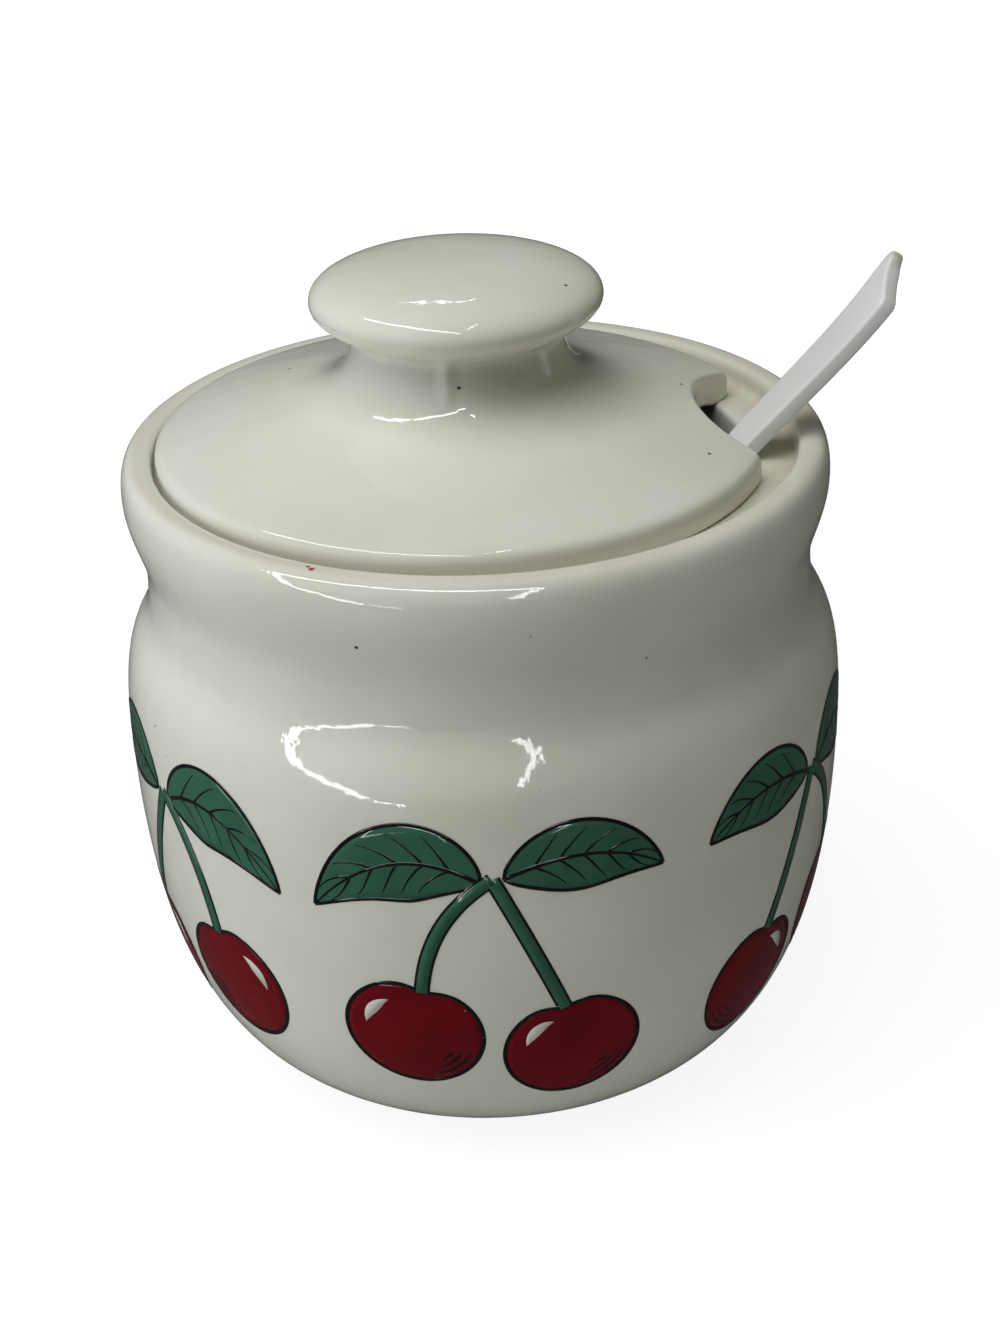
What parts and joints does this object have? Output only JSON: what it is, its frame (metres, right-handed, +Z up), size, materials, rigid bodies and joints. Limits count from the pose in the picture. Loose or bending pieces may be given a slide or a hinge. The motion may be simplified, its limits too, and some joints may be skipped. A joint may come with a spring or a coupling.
{
  "type": "jam pot",
  "caption": "Bellied glazed jam pot with a knobbed lid that sits in a gallery inside the lip, notched at its edge for a leaning spoon.",
  "frame": {"origin": "on the pot's axis, in the plane of the foot ring that it stands on", "axes": "+Z up along the pot's axis, -Y towards the front, +X towards the lid's notch and the spoon"},
  "size_m": [0.1077, 0.1, 0.1154],
  "materials": {
    "glazed_earthenware": "warm off-white gloss glaze",
    "spoon_plastic": "moulded white plastic, half gloss"
  },
  "bodies": {
    "pot": {"pot": "glazed_earthenware"},
    "lid": {"lid": "glazed_earthenware"},
    "spoon": {"spoon": "spoon_plastic"}
  },
  "joints": [
    {"name": "lid_lift", "type": "slide", "parent": "pot", "child": "lid", "axis": [0, 0, 1], "range_m": [0, 0.07]},
    {"name": "spoon_slide", "type": "slide", "parent": "pot", "child": "spoon", "axis": [0.6665, 0.0447, 0.7442], "range_m": [0, 0.05]}
  ]
}
